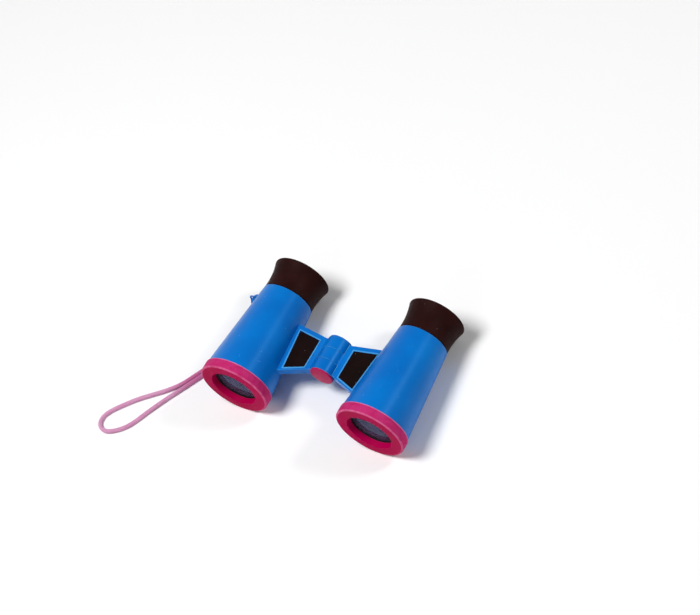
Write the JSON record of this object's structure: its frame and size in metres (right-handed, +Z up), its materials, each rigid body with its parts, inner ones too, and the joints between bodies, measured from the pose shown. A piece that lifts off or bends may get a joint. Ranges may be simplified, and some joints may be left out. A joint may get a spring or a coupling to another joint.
{
  "type": "toy binoculars",
  "caption": "Folding toy binoculars with tapered barrels, coloured objective rings, flared eyecups, a hinged bridge with grip pads and a wrist cord.",
  "frame": {"origin": "on the table, below the middle of the binoculars as they lie flat, leaving out the cord", "axes": "+X across the barrels, to the right of somebody who looks at the objective lenses, +Y towards the eyepieces, +Z up. Left and right in names are as that person sees them. The barrel axes dip towards +Y by the rest tilt, because the eyecup rims are smaller than the objective rings"},
  "size_m": [0.1836, 0.118, 0.0402],
  "materials": {
    "blue_plastic": "satin moulded",
    "magenta_plastic": "satin moulded",
    "black_plastic": "matte moulded",
    "black_rubber": "soft matte",
    "clear_lens": "polished",
    "pin_steel": "plain",
    "tie_string": "braided string",
    "pink_cord": "braided cord"
  },
  "bodies": {
    "left_half": {"left_barrel": "blue_plastic", "left_objective_ring": "magenta_plastic", "left_lens_retainer": "black_plastic", "left_objective_lens": "clear_lens", "left_grip_pad": "black_rubber", "hinge_pin": "pin_steel", "hinge_clip": "pin_steel", "hinge_front_cap": "magenta_plastic", "hinge_rear_cap": "blue_plastic", "strap_tie": "tie_string", "strap_ferrule": "magenta_plastic", "wrist_cord": "pink_cord"},
    "right_half": {"right_barrel": "blue_plastic", "right_objective_ring": "magenta_plastic", "right_lens_retainer": "black_plastic", "right_objective_lens": "clear_lens", "right_grip_pad": "black_rubber"},
    "left_eyepiece": {"left_eyepiece_tube": "black_plastic", "left_eyepiece_lens": "clear_lens", "left_eyepiece_ring": "black_plastic", "left_eyecup": "black_rubber"},
    "right_eyepiece": {"right_eyepiece_tube": "black_plastic", "right_eyepiece_lens": "clear_lens", "right_eyepiece_ring": "black_plastic", "right_eyecup": "black_rubber"}
  },
  "joints": [
    {"name": "bridge_fold", "type": "hinge", "parent": "left_half", "child": "right_half", "pos_m": [0, -0.00439, 0.01847], "axis": [0, -0.9987, 0.0519], "range_deg": [0, 95]},
    {"name": "left_focus", "type": "slide", "parent": "left_half", "child": "left_eyepiece", "axis": [0, 0.9987, -0.0519], "range_m": [0, 0.004]},
    {"name": "right_focus", "type": "slide", "parent": "right_half", "child": "right_eyepiece", "axis": [0, 0.9987, -0.0519], "range_m": [0, 0.004]}
  ]
}
